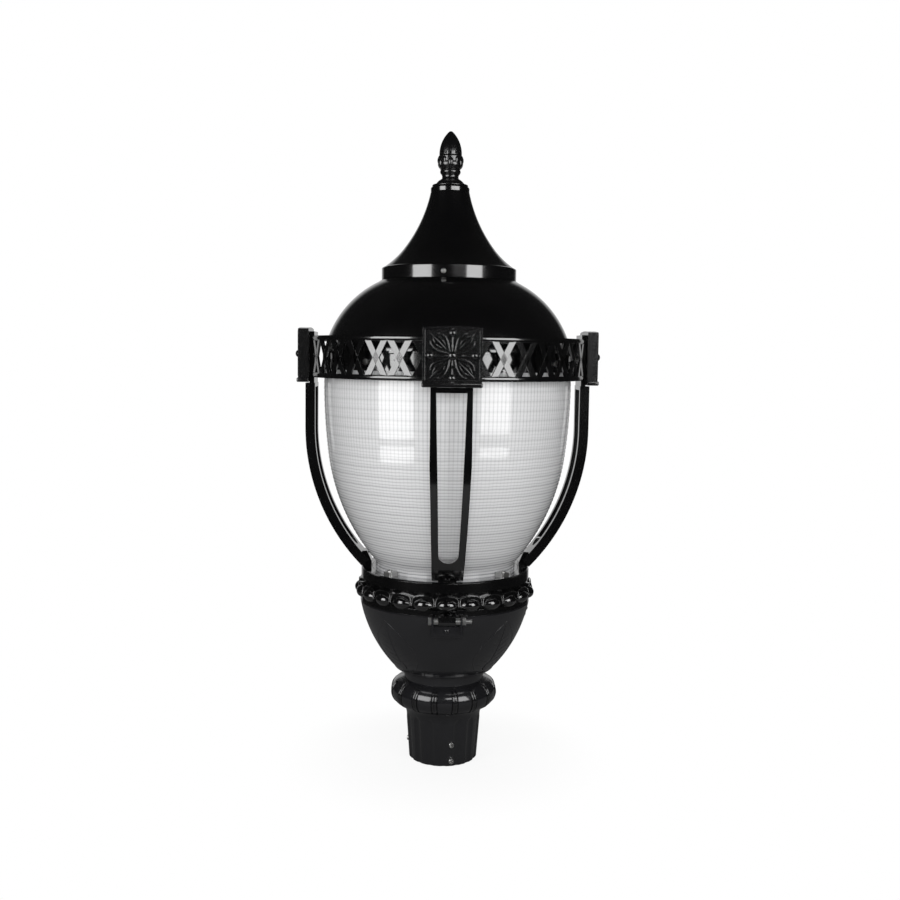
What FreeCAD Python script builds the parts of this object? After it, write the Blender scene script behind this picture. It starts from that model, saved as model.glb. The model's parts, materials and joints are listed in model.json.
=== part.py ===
# Post top lantern: a fluted cast fitter and bowl that stand on a post, and a hinged
# top made of a beaded ring, a ribbed glass globe, a four-armed cage with a lattice
# band, a domed cover, a flared roof and a finial. Millimetres, +Z up, -Y is the front.
# The origin is the centre of the post socket's mouth.
import FreeCAD, Part
import math
import os

V = FreeCAD.Vector
UP = V(0, 0, 1)
TAU = 2 * math.pi

# ---- driving dimensions -------------------------------------------------------
SOCKET_R = 39.7            # bore for a 76 mm post tenon
SOCKET_DEPTH = 118.0
WIRE_HOLE_R = 26.0
NECK_FOOT_R = 52.0
NECK_TOP_R = 56.5
NECK_TOP_Z = 64.0
FLUTES = 16
FLUTE_DEPTH = 2.4
FLUTE_CUTTER_R = 15.0
BULGE_R = 20.6             # round of the petal collar, in section
BULGE_CENTRE = (59.9, 104.0)
PETAL_GROOVE_R = 1.6
PETAL_GROOVE_ANGLE = 2.5   # from the middle of the rib between two petals to its grooves
SHOULDER_R = 61.0
BOWL_FOOT_Z = 142.0
BOWL_FLOOR = 7.0
BOWL_WALL = 5.0
BOWL_BOLT_R = 46.0
BOWL_CURVE = (-71.8, 285.0, 203.9)      # centre (r, z) and radius of the side's curve
SPLIT_Z = 248.0            # where the bowl ends and the hinged ring begins
RING_BOTTOM_Z = SPLIT_Z + 0.3
RING_R = 128.3
RING_COLLAR_R = 127.2
RING_TOP_Z = 297.0
SEAT_R = 111.0             # recess that holds the foot of the globe
SEAT_Z = 288.0
LEDGE_R = 90.0             # ledge inside the ring, which the heat sink lies on
LEDGE_Z = 262.0
ENGINE_Z = LEDGE_Z + 6.0
SINK_THICK = 6.0
SINK_SCREW_R = 94.5
CLIP_SCREW_R = 116.0       # screws of the clips that hold the globe's foot
EGGS = 24
EGG_CENTRE = (128.0, 264.0)
EGG_R = 9.0
EGG_HALF_LENGTH = 15.4
ARCH_R = 42.0              # round of the flat arch that stands behind each egg
ARCH_TOP_Z = 277.5
ARCH_FACE = 129.8
HINGE_Y = -136.0
HINGE_Z = 243.5
HINGE_R = 6.0
PIN_R = 3.0
KNUCKLE_HALF = 12.0
EAR_NEAR, EAR_FAR = 18.8, 22.0
LEAF_Y = -131.0            # outer face of the flat the hinge leaf is screwed to
LEAF_THICK = 2.5
LEAF_BOTTOM_Z, LEAF_TOP_Z = 221.5, 236.0
LEAF_SCREW_Z = 229.0
LATCH_ANGLE = 98.0         # from the front towards +X
LATCH_Z = 228.0
LATCH_TILT = 11.0
LATCH_SHAFT_R = 3.5
LATCH_STAND_OFF = 1.6      # from the bowl to the handle's wing
LATCH_GAP = 0.05
HANDLE_HALF = 12.5
CAM_IN, CAM_OUT = -11.5, -9.0      # the cam's faces, inward of the bowl's outer face
CAM_REACH = 13.0
GASKET_OUT_R = 126.2
TRAY_Z = 228.0             # underside of the control gear's tray
TRAY_THICK = 2.5
TRAY_SCREW_R = 88.0
DRIVER_SCREWS = [(x, y) for x in (-62.0, 62.0) for y in (-20.0, 20.0)]
ARM_OUTER_R = 300.0        # the arms' outer curve, in side view
ARM_CENTRE = (-90.0, 508.0)
ARM_DEPTH = 14.0
ARM_FOOT_ANGLE = 44.0      # where the curve is cut off square, below its centre
ARM_LUG_ANGLE = 41.0       # how far up the ring's lug backs the arm
ARM_LUG_HALF = 13.0
ARM_FOOT_HALF = 22.0
ARM_TOP_HALF = 28.0
SLOT_FOOT_HALF = 14.0
SLOT_TOP_HALF = 20.5
SLOT_FOOT_Z = 329.0
ARM_TOP_Z = 573.0
BAND_R = 204.0
BAND_DEPTH = 7.0
BAND_BOTTOM_Z, BAND_TOP_Z = 582.0, 641.8
RIM_HEIGHT = 7.0
LATTICE_THICK = 2.6
LATTICE_PITCH = 10.0       # degrees from one crossing to the next
CROSSINGS = 6              # to each quarter of the band
LATTICE_BAR = 6.6
LATTICE_RECESS = 1.6
MEDAL_HALF = 37.0
MEDAL_BOTTOM_Z, MEDAL_TOP_Z = 580.0, 651.5
MEDAL_BACK, MEDAL_FACE = 204.3, 220.5
MEDAL_SCREW_Y, MEDAL_SCREW_Z = (-15.0, 15.0), 615.0
GLASS_WALL = 5.0
GLASS_FOOT_R = 106.0
GLASS_LOWER = (-127.15, 506.8, 307.4)   # centre (r, z) and radius
GLASS_UPPER = (-671.85, 575.3, 856.4)
GLASS_JOIN_Z = 468.4
GLASS_RIM_R = 184.2
GLASS_TOP_Z = 612.0
GASKET_TOP_Z = 615.0       # the seal between the globe and its cap ring
CLIP_HEIGHT = 6.0
SKIRT_R = 186.5
SKIRT_BOTTOM_Z = 594.0
SKIRT_TOP_Z = 618.0
DOME_CURVE = (38.8, 589.5, 148.8)       # centre (r, z) and radius
DOME_TOP_Z = 723.0
DOME_WALL = 2.6
REFLECTOR_TOP_Z = 689.0
SPIGOT_R = 94.0
SPIGOT_TOP_Z = 741.0
ROOF_R = 100.0
ROOF_BOTTOM_Z, ROOF_LIP_Z = 725.6, 744.0
ROOF_TOP_Z = 864.0
ROOF_CURVE = (232.9, 900.0, 208.9)      # hollow curve of the roof's flank
ROOF_FLARE_Z = 770.8
ROOF_WALL = 3.0
ROOF_SCREW_Z = 734.0
ROOF_SCREW_ANGLES = (-6.0, 114.0, 234.0)
FINIAL_FOOT_Z = 876.0
FINIAL_TOP_Z = 945.0
STUD_R = 4.0
SET_SCREW_R = 4.0
SET_SCREW_GAP = 0.05
# from the front towards +X, with the two heights of each pair
SET_SCREWS = {"front": (12.0, (9.0, 34.0)), "right": (132.0, (20.0, 46.0)),
              "left": (252.0, (20.0, 46.0))}
DIAGONALS = (45.0, 135.0, 225.0, 315.0)
ARM_NAMES = {"front": 0.0, "right": 90.0, "back": 180.0, "left": 270.0}
BAND_NAMES = {"front_right": 0.0, "back_right": 90.0, "back_left": 180.0, "front_left": 270.0}

os.makedirs("parts", exist_ok=True)


# ---- helpers ------------------------------------------------------------------
def outline(points):
    """A closed wire in the XZ plane. An item is a corner (r, z), or a pair of a
    point on an arc and the arc's end."""
    edges, here = [], V(points[0][0], 0, points[0][1])
    for item in list(points[1:]) + [points[0]]:
        if isinstance(item[0], tuple):
            middle = V(item[0][0], 0, item[0][1])
            end = V(item[1][0], 0, item[1][1])
            edges.append(Part.Arc(here, middle, end).toShape())
        else:
            end = V(item[0], 0, item[1])
            if (end - here).Length < 1e-6:
                continue
            edges.append(Part.LineSegment(here, end).toShape())
        here = end
    return Part.Wire(edges)


def radius_at(circle, z, side=1):
    """How far out a circle in the RZ plane is at a height, on its outer or inner side."""
    centre_r, centre_z, radius = circle
    return centre_r + side * math.sqrt(radius ** 2 - (z - centre_z) ** 2)


def bend(circle, start_z, end_z, side=1):
    """An outline's arc along a circle, from one height to another."""
    middle_z = (start_z + end_z) / 2
    return ((radius_at(circle, middle_z, side), middle_z), (radius_at(circle, end_z, side), end_z))


def turned(points, angle=360):
    """The outline turned about the Z axis."""
    return Part.Face(outline(points)).revolve(V(0, 0, 0), UP, angle)


def plate(points, thickness):
    """The outline, which lies in the XZ plane, made a plate centred on that plane."""
    face = Part.Face(outline(points))
    face.translate(V(0, -thickness / 2, 0))
    return face.extrude(V(0, thickness, 0))


def facing(shape, angle):
    """A shape that points along +X, turned to face an angle from the front."""
    placed = shape.copy()
    placed.rotate(V(0, 0, 0), UP, angle - 90)
    return placed


def rod(radius, length, start, direction):
    return Part.makeCylinder(radius, length, V(*start), V(*direction))


def block(low, high):
    return Part.makeBox(high[0] - low[0], high[1] - low[1], high[2] - low[2], V(*low))


def hexagon(across, length, start, direction):
    """A hexagonal prism, measured across its flats."""
    corner = across / 2 / math.cos(math.pi / 6)
    ring = [V(corner * math.cos(TAU * k / 6), corner * math.sin(TAU * k / 6), 0) for k in range(7)]
    prism = Part.Face(Part.makePolygon(ring)).extrude(V(0, 0, length))
    prism.Placement = FreeCAD.Placement(V(*start), FreeCAD.Rotation(UP, V(*direction)))
    return prism


def spindle(half_length, radius, centre, direction, tip=0.8):
    """A solid like a seed: an arc turned about its chord, with small flat ends."""
    foot = [(0, -half_length), (tip, -half_length)]
    body = turned(foot + [((radius, 0), (tip, half_length)), (0, half_length)])
    body.Placement = FreeCAD.Placement(V(*centre), FreeCAD.Rotation(UP, V(*direction)))
    return body


def domed_screw(radius, head_r, head_h, length, start, direction):
    """A pan head on a shank. start is where the head sits and direction points out."""
    shank = rod(radius, length, (0, 0, -length), (0, 0, 1))
    dome = turned([(0, 0), (head_r, 0), ((head_r * 0.78, head_h * 0.72), (0, head_h))])
    slot = block((-head_r, -head_r * 0.13, head_h * 0.6), (head_r, head_r * 0.13, head_h + 1))
    screw = shank.fuse(dome).cut(slot)
    screw.Placement = FreeCAD.Placement(V(*start), FreeCAD.Rotation(UP, V(*direction)))
    return screw


def hex_bolt(radius, across, head_h, length, start, direction):
    """A hexagon head on a shank. start is under the head and direction points out."""
    head = hexagon(across, head_h, (0, 0, 0), (0, 0, 1))
    bolt = head.fuse(rod(radius, length, (0, 0, -length), (0, 0, 1)))
    bolt.Placement = FreeCAD.Placement(V(*start), FreeCAD.Rotation(UP, V(*direction)))
    return bolt


def polar(r, angle, z):
    """A point at an angle from the front, counted towards +X."""
    a = math.radians(angle)
    return (r * math.sin(a), -r * math.cos(a), z)


def outward(angle, rise=0.0):
    return polar(1.0, angle, rise)


def save(name, *solids):
    found = [s for shape in solids for s in shape.Solids]
    for s in found:
        if not s.isValid() or s.Volume <= 0:
            print("bad solid in", name, s.isValid(), s.Volume)
    shape = found[0] if len(found) == 1 else Part.makeCompound(found)
    shape.exportStep(f"parts/{name}.step")


# ---- post fitter ----------------------------------------------------------------
def post_fitter():
    bulge_r, bulge_z = BULGE_CENTRE
    outer = [
        (SOCKET_R, 0), (NECK_FOOT_R - 1.5, 0), (NECK_FOOT_R, 1.5), (NECK_TOP_R, NECK_TOP_Z),
        ((NECK_TOP_R + 1.2, 75.0), (63.0, 83.7)),
        ((bulge_r + BULGE_R, bulge_z), (66.0, 123.7)),
        (SHOULDER_R, 126.0), (SHOULDER_R, BOWL_FOOT_Z), (WIRE_HOLE_R, BOWL_FOOT_Z),
        (WIRE_HOLE_R, SOCKET_DEPTH), (SOCKET_R, SOCKET_DEPTH),
    ]
    body = turned(outer)
    lean = math.atan2(NECK_TOP_R - NECK_FOOT_R, NECK_TOP_Z)
    reach = FLUTE_CUTTER_R - FLUTE_DEPTH
    axis = V(math.sin(lean), 0, math.cos(lean))
    foot = V(NECK_FOOT_R + reach, 0, 0) - axis * 6
    long = (NECK_TOP_Z + 6) / math.cos(lean)
    flute = Part.makeCylinder(FLUTE_CUTTER_R, long, foot, axis)
    flute = flute.fuse(Part.makeSphere(FLUTE_CUTTER_R, foot + axis * long))
    groove = Part.makeTorus(BULGE_R, PETAL_GROOVE_R, V(bulge_r, 0, bulge_z), V(0, 1, 0))
    groove = groove.common(block((bulge_r, -5, 86), (bulge_r + 40, 5, 160)))
    cutters = []
    for k in range(FLUTES):
        turn = 360.0 * k / FLUTES
        rib = turn + 180.0 / FLUTES
        cutters.append(facing(flute, turn))
        cutters += [facing(groove, rib + side) for side in (-PETAL_GROOVE_ANGLE, PETAL_GROOVE_ANGLE)]
    body = body.cut(cutters)
    holes = []
    for angle, heights in SET_SCREWS.values():
        for z in heights:
            holes.append(rod(SET_SCREW_R + SET_SCREW_GAP, 60, polar(20, angle, z), outward(angle)))
    for angle in DIAGONALS:
        holes.append(rod(4.0, 16, polar(BOWL_BOLT_R, angle, BOWL_FOOT_Z - 16), (0, 0, 1)))
    return body.cut(holes)


def set_screw(angle, z):
    """A socket set screw whose tip is flush with the bore."""
    screw = rod(SET_SCREW_R, 17.0, (SOCKET_R + 0.6, 0, z), (1, 0, 0))
    tip = SOCKET_R + 17.6
    screw = screw.cut(hexagon(4.0, 5.0, (tip - 4.0, 0, z), (1, 0, 0)))
    edge = [e for e in screw.Edges if abs(e.BoundBox.XMin - tip) < 1e-3 and e.BoundBox.YLength > 7.9]
    return facing(screw.makeChamfer(0.6, edge), angle)


# ---- bowl -----------------------------------------------------------------------
def housing_bowl():
    foot, floor = BOWL_FOOT_Z, BOWL_FOOT_Z + BOWL_FLOOR
    lip_z = foot + 3.0
    inside = (BOWL_CURVE[0], BOWL_CURVE[1], BOWL_CURVE[2] - BOWL_WALL)
    rim_in = radius_at(inside, SPLIT_Z - 2.0)
    lip_r = radius_at(BOWL_CURVE, lip_z)
    bowl = turned([
        (WIRE_HOLE_R, foot), (lip_r - 5.0, foot), ((lip_r - 1.2, foot + 0.9), (lip_r, lip_z)),
        bend(BOWL_CURVE, lip_z, 246.0), (RING_R, SPLIT_Z), (GASKET_OUT_R, SPLIT_Z),
        (GASKET_OUT_R, SPLIT_Z - 2.0), (rim_in, SPLIT_Z - 2.0), bend(inside, SPLIT_Z - 2.0, floor),
        (WIRE_HOLE_R, floor),
    ])
    room = turned([
        (0, floor), (radius_at(inside, floor), floor), bend(inside, floor, SPLIT_Z + 2), (0, SPLIT_Z + 2),
    ])
    # the flat at the front, which the hinge leaf is screwed to
    pad = block((-EAR_FAR - 1, LEAF_Y, LEAF_BOTTOM_Z - 3), (EAR_FAR + 1, -100, LEAF_TOP_Z + 0.5))
    bowl = bowl.fuse(pad.cut(room))
    # four posts inside carry the tray that holds the control gear
    shell = turned([(0, foot + 1), (lip_r, foot + 1), bend(BOWL_CURVE, lip_z, TRAY_Z), (0, TRAY_Z)])
    for angle in DIAGONALS:
        post = rod(6.0, TRAY_Z - floor + 2, polar(TRAY_SCREW_R, angle, floor - 2), (0, 0, 1))
        bowl = bowl.fuse(post.common(shell))
    holes = [rod(4.2, 12, polar(BOWL_BOLT_R, a, foot - 2), (0, 0, 1)) for a in DIAGONALS]
    holes += [rod(2.0, 16, polar(TRAY_SCREW_R, a, TRAY_Z - 16), (0, 0, 1)) for a in DIAGONALS]
    holes.append(rod(2.0, 9, (0, LEAF_Y, LEAF_SCREW_Z), (0, 1, 0)))
    holes.append(at_latch(rod(LATCH_SHAFT_R + LATCH_GAP, 24, (-18, 0, 0), (1, 0, 0))))
    return bowl.cut(holes)


def bowl_bolts():
    floor = BOWL_FOOT_Z + BOWL_FLOOR
    flange = 1.6
    made = []
    for angle in DIAGONALS:
        washer = rod(8.5, flange, polar(BOWL_BOLT_R, angle, floor), (0, 0, 1))
        bolt = hex_bolt(4.0, 13, 5.5, 22, polar(BOWL_BOLT_R, angle, floor + flange), (0, 0, 1))
        made.append(bolt.fuse(washer))
    return made


def bowl_gasket():
    low, high = SPLIT_Z - 2.0, SPLIT_Z + 0.15
    inner, outer = GASKET_OUT_R - 2.2, GASKET_OUT_R
    return turned([(inner, low), (outer, low), (outer, high), (inner, high)])


# ---- control gear in the bowl ------------------------------------------------------
def gear_tray():
    tray = rod(100.0, TRAY_THICK, (0, 0, TRAY_Z), (0, 0, 1))
    holes = [rod(2.2, 8, polar(TRAY_SCREW_R, a, TRAY_Z - 2), (0, 0, 1)) for a in DIAGONALS]
    holes.append(rod(12.0, 8, (0, 66, TRAY_Z - 2), (0, 0, 1)))
    holes += [rod(1.6, 8, (x, y, TRAY_Z - 2), (0, 0, 1)) for x, y in DRIVER_SCREWS]
    holes += [block((-24, y - 3, TRAY_Z - 2), (24, y + 3, TRAY_Z + 6)) for y in (-78, -88)]
    return tray.cut(holes)


def tray_screws():
    top = TRAY_Z + TRAY_THICK
    spots = [polar(TRAY_SCREW_R, angle, top) for angle in DIAGONALS]
    return [domed_screw(2.0, 4.2, 2.6, 14, spot, (0, 0, 1)) for spot in spots]


def led_driver():
    case = block((-54, -33, TRAY_Z - 40), (54, 33, TRAY_Z))
    flanges = block((-70, -27, TRAY_Z - 3), (70, 27, TRAY_Z))
    case = case.makeFillet(3.0, [e for e in case.Edges if e.BoundBox.ZLength > 30]).fuse(flanges)
    ribs = [block((x, -34, TRAY_Z - 37), (x + 3, 34, TRAY_Z - 6)) for x in range(-46, 46, 11)]
    case = case.fuse(ribs)
    return case.cut([rod(1.6, 6, (x, y, TRAY_Z - 4), (0, 0, 1)) for x, y in DRIVER_SCREWS])


def driver_screws():
    top = TRAY_Z + TRAY_THICK
    return [domed_screw(1.6, 3.2, 2.0, 7, (x, y, top), (0, 0, 1)) for x, y in DRIVER_SCREWS]


def surge_protector():
    body = rod(14.0, 30.0, (0, -56, TRAY_Z - 30), (0, 0, 1))
    return body.cut(rod(11.0, 1.2, (0, -56, TRAY_Z - 30.5), (0, 0, 1)))


def terminal_block():
    body = block((18, 40, TRAY_Z - 16), (54, 56, TRAY_Z))
    wells = [rod(2.4, 9, (x, 48, TRAY_Z - 17), (0, 0, 1)) for x in (24, 32, 40, 48)]
    walls = [block((x - 0.8, 39, TRAY_Z - 18), (x + 0.8, 57, TRAY_Z - 11)) for x in (28, 36, 44)]
    return body.cut(wells).fuse(walls)


# ---- hinge ------------------------------------------------------------------------
def hinge_bolt():
    return hex_bolt(PIN_R - 0.05, 10, 4.5, 57.0, (-EAR_FAR, HINGE_Y, HINGE_Z), (-1, 0, 0))


def hinge_nut():
    nut = hexagon(10, 5.0, (EAR_FAR, HINGE_Y, HINGE_Z), (1, 0, 0))
    return nut.cut(rod(PIN_R - 0.05, 9, (EAR_FAR - 2, HINGE_Y, HINGE_Z), (1, 0, 0)))


def hinge_bushes():
    made = []
    for sign in (-1, 1):
        start = (sign * (KNUCKLE_HALF + 0.3), HINGE_Y, HINGE_Z)
        length = EAR_NEAR - KNUCKLE_HALF - 0.3
        bush = rod(4.6, length, start, (sign, 0, 0))
        bore = rod(PIN_R - 0.05, length + 2, (start[0] - sign, HINGE_Y, HINGE_Z), (sign, 0, 0))
        made.append(bush.cut(bore))
    return made


def hinge_leaf():
    """A folded leaf: a plate on the bowl's flat, and an ear at each end for the bolt."""
    front = LEAF_Y - LEAF_THICK
    leaf = block((-EAR_FAR, front, LEAF_BOTTOM_Z), (EAR_FAR, LEAF_Y, LEAF_TOP_Z))
    for low, high in ((-EAR_FAR, -EAR_NEAR), (EAR_NEAR, EAR_FAR)):
        ear = rod(HINGE_R - 0.5, high - low, (low, HINGE_Y, HINGE_Z), (1, 0, 0))
        ear = ear.fuse(block((low, HINGE_Y - 4.5, LEAF_TOP_Z - 9), (high, LEAF_Y, HINGE_Z)))
        leaf = leaf.fuse(ear)
    leaf = leaf.cut(rod(PIN_R, 60, (-30, HINGE_Y, HINGE_Z), (1, 0, 0)))
    return leaf.cut(rod(2.2, 8, (0, LEAF_Y - 5, LEAF_SCREW_Z), (0, 1, 0)))


def hinge_leaf_screw():
    return domed_screw(2.0, 3.8, 2.6, 9.5, (0, LEAF_Y - LEAF_THICK, LEAF_SCREW_Z), (0, -1, 0))


# ---- latch ------------------------------------------------------------------------
def at_latch(shape):
    """Place a shape, made with +X along the latch's shaft and its origin on the bowl."""
    placed = shape.copy()
    placed.rotate(V(0, 0, 0), V(0, 1, 0), LATCH_TILT)
    placed.translate(V(radius_at(BOWL_CURVE, LATCH_Z), 0, LATCH_Z))
    return facing(placed, LATCH_ANGLE)


def latch_handle():
    near, thick = LATCH_STAND_OFF, 2.7
    shaft = rod(LATCH_SHAFT_R, near + 17.5, (-17.5, 0, 0), (1, 0, 0))
    collar = rod(5.0, near - 0.9, (0.9, 0, 0), (1, 0, 0))
    half = HANDLE_HALF - 4.5
    wing = block((near, -4.5, -half), (near + thick, 4.5, half))
    for z in (-half, half):
        wing = wing.fuse(rod(4.5, thick, (near, 0, z), (1, 0, 0)))
    handle = wing.fuse([shaft, collar])
    return at_latch(handle.cut(rod(1.6, 14, (-7, 0, 0), (1, 0, 0))))


def latch_cam():
    cam = block((CAM_IN, -4, 0), (CAM_OUT, 4, CAM_REACH))
    cam = cam.fuse(rod(6.0, CAM_OUT - CAM_IN, (CAM_IN, 0, 0), (1, 0, 0)))
    return at_latch(cam.cut(rod(LATCH_SHAFT_R, 9, (CAM_IN - 3, 0, 0), (1, 0, 0))))


def latch_nut():
    nut = hexagon(10, 4.5, (CAM_IN - 4.5, 0, 0), (1, 0, 0))
    return at_latch(nut.cut(rod(LATCH_SHAFT_R, 9, (CAM_IN - 7, 0, 0), (1, 0, 0))))


def latch_screw():
    return at_latch(domed_screw(1.6, 3.4, 2.2, 9.0, (LATCH_STAND_OFF + 2.7, 0, 0), (1, 0, 0)))


def latch_catch():
    """A hook that hangs from the ring beside the cam, for the cam to turn in over."""
    hanger = block((108.0, 19.0, 220.5), (111.0, 24.0, 260.0))
    return hanger.fuse(block((108.0, 8.0, 220.5), (113.3, 24.0, 222.5)))


# ---- hinged ring --------------------------------------------------------------------
def arm_lug():
    """The lug that an arm's square foot stands on, and that backs it for the bolt."""
    inner = ARM_OUTER_R - ARM_DEPTH
    foot_in = curve_at(inner, ARM_FOOT_ANGLE)
    top = curve_at(inner, ARM_LUG_ANGLE)
    middle = curve_at(inner, (ARM_FOOT_ANGLE + ARM_LUG_ANGLE) / 2)
    side = RING_COLLAR_R - 2.0
    reach = (side - ARM_CENTRE[0]) / math.cos(math.radians(ARM_FOOT_ANGLE))
    return plate([
        (SEAT_R + 0.4, RING_TOP_Z - 1), (side, RING_TOP_Z - 1), curve_at(reach, ARM_FOOT_ANGLE),
        foot_in, (middle, top), (top[0] - 7.5, top[1] + 0.5), (SEAT_R + 0.4, 305.0),
    ], 2 * ARM_LUG_HALF)


def egg():
    """One pointed egg of the row round the ring, lying along the rim under a flat arch."""
    shape = spindle(EGG_HALF_LENGTH, EGG_R, (EGG_CENTRE[0], 0, EGG_CENTRE[1]), (0, 1, 0))
    disc = rod(ARCH_R, ARCH_FACE - 122.0, (122.0, 0, ARCH_TOP_Z - ARCH_R), (1, 0, 0))
    half = ARCH_FACE * math.tan(math.pi / EGGS) + 0.2
    arch = disc.common(block((121.0, -half, 259.5), (140.0, half, 300.0)))
    return shape.cut(turned([(0, 240), (118.0, 240), (118.0, 300), (0, 300)])).fuse(arch)


def globe_ring():
    ring = turned([
        (RING_R - 7.0, RING_BOTTOM_Z), (RING_R, RING_BOTTOM_Z), (RING_R, 257.0),
        (RING_R - 3.0, 259.0), (RING_R - 3.0, 279.5), (RING_COLLAR_R, 281.5),
        (RING_COLLAR_R, RING_TOP_Z - 2.0), (RING_COLLAR_R - 2.0, RING_TOP_Z), (SEAT_R, RING_TOP_Z),
        (SEAT_R, SEAT_Z), (99.0, SEAT_Z), (99.0, ENGINE_Z), (LEDGE_R, ENGINE_Z), (LEDGE_R, LEDGE_Z),
        (RING_R - 7.0, LEDGE_Z - 8.0),
    ])
    knuckle = rod(HINGE_R, 2 * KNUCKLE_HALF, (-KNUCKLE_HALF, HINGE_Y, HINGE_Z), (1, 0, 0))
    near, far = -HINGE_Y - 3.5, -HINGE_Y + HINGE_R - 0.5
    web = plate([
        (far, HINGE_Z), (far, 251.0), (125.0, 256.5), (123.5, RING_BOTTOM_Z), (near, RING_BOTTOM_Z),
        (near, HINGE_Z),
    ], 2 * KNUCKLE_HALF)
    knuckle = knuckle.fuse(facing(web, 0))
    knuckle = knuckle.cut(rod(PIN_R + 0.05, 60, (-30, HINGE_Y, HINGE_Z), (1, 0, 0)))
    lugs = [facing(arm_lug(), angle) for angle in ARM_NAMES.values()]
    ring = ring.fuse([knuckle, facing(latch_catch(), LATCH_ANGLE)] + lugs)
    ring = ring.fuse([facing(egg(), 360.0 * k / EGGS) for k in range(EGGS)])
    clip_holes = [rod(2.0, 12, polar(CLIP_SCREW_R, a, RING_TOP_Z - 10), (0, 0, 1)) for a in DIAGONALS]
    sink_holes = [rod(1.6, 8, polar(SINK_SCREW_R, a, LEDGE_Z - 1), (0, 0, 1)) for a in DIAGONALS]
    bolt_holes = [facing(arm_hole(), angle) for angle in ARM_NAMES.values()]
    for holes in (clip_holes, sink_holes, bolt_holes):
        ring = ring.cut(holes)
    return ring


# ---- arms ----------------------------------------------------------------------------
BOLT_ANGLE = 42.5
BOLT_OUT = (math.cos(math.radians(BOLT_ANGLE)), 0, -math.sin(math.radians(BOLT_ANGLE)))


def curve_at(radius, angle):
    """A point (r, z) at an angle below the centre of the arms' curve."""
    a = math.radians(angle)
    return (ARM_CENTRE[0] + radius * math.cos(a), ARM_CENTRE[1] - radius * math.sin(a))


def bolt_point(radius):
    r, z = curve_at(radius, BOLT_ANGLE)
    return (r, 0, z)


def arm_hole():
    return rod(3.0, 26, bolt_point(ARM_OUTER_R - 24), BOLT_OUT)


def cage_arm():
    outer_r, inner_r = ARM_OUTER_R, ARM_OUTER_R - ARM_DEPTH
    foot, half_way = ARM_FOOT_ANGLE, ARM_FOOT_ANGLE / 2
    top_outer = ARM_CENTRE[0] + outer_r
    top_inner = top_outer - ARM_DEPTH
    side = [
        curve_at(inner_r, foot), curve_at(outer_r, foot),
        (curve_at(outer_r, half_way), (top_outer, ARM_CENTRE[1])), (top_outer, ARM_TOP_Z),
        (BAND_R, ARM_TOP_Z), (BAND_R, MEDAL_TOP_Z - 3), (BAND_R - BAND_DEPTH, MEDAL_TOP_Z - 3),
        (BAND_R - BAND_DEPTH, ARM_TOP_Z), (top_inner, ARM_TOP_Z), (top_inner, ARM_CENTRE[1]),
        (curve_at(inner_r, half_way), curve_at(inner_r, foot)),
    ]
    bar = plate(side, 2 * ARM_TOP_HALF + 2)
    half, top, foot_z = ARM_FOOT_HALF, ARM_TOP_HALF, RING_TOP_Z
    corners = [(-half, foot_z - 5), (half, foot_z - 5), (top, 470), (top, 700), (-top, 700), (-top, 470)]
    front = Part.makePolygon([V(0, y, z) for y, z in corners + corners[:1]])
    bar = bar.common(Part.Face(front).extrude(V(300, 0, 0)))
    foot, head = SLOT_FOOT_HALF, SLOT_TOP_HALF
    low, high = SLOT_FOOT_Z + foot, ARM_TOP_Z - 6.0
    edges = [
        Part.Arc(V(0, -foot, low), V(0, 0, SLOT_FOOT_Z), V(0, foot, low)).toShape(),
        Part.LineSegment(V(0, foot, low), V(0, head, high)).toShape(),
        Part.LineSegment(V(0, head, high), V(0, -head, high)).toShape(),
        Part.LineSegment(V(0, -head, high), V(0, -foot, low)).toShape(),
    ]
    bar = bar.cut(Part.Face(Part.Wire(edges)).extrude(V(300, 0, 0)))
    screws = [rod(2.0, 20, (BAND_R - 10, y, MEDAL_SCREW_Z), (1, 0, 0)) for y in MEDAL_SCREW_Y]
    bar = bar.cut([arm_hole(), arm_bolt_seat()] + screws)
    return bar


def arm_bolt():
    """A flush bolt, sunk in the arm's outer face."""
    r, _, z = bolt_point(ARM_OUTER_R - 1.2)
    head = turned([(0, -4.6), (3.0, -4.6), (3.0, -3.6), (6.2, -0.4), (6.2, 0), (0, 0)])
    head = head.cut(hexagon(4.0, 3, (0, 0, -2.6), (0, 0, 1)))
    bolt = head.fuse(rod(3.0, 18, (0, 0, -18), (0, 0, 1)))
    bolt.Placement = FreeCAD.Placement(V(r, 0, z), FreeCAD.Rotation(UP, V(*BOLT_OUT)))
    return bolt


def arm_bolt_seat():
    """What is cut out of an arm so that its bolt's head lies below the surface."""
    r, _, z = bolt_point(ARM_OUTER_R - 1.2)
    seat = turned([(0, -4.6), (3.0, -4.6), (3.0, -3.6), (6.2, -0.4), (6.2, 9), (0, 9)])
    seat.Placement = FreeCAD.Placement(V(r, 0, z), FreeCAD.Rotation(UP, V(*BOLT_OUT)))
    return seat


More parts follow.
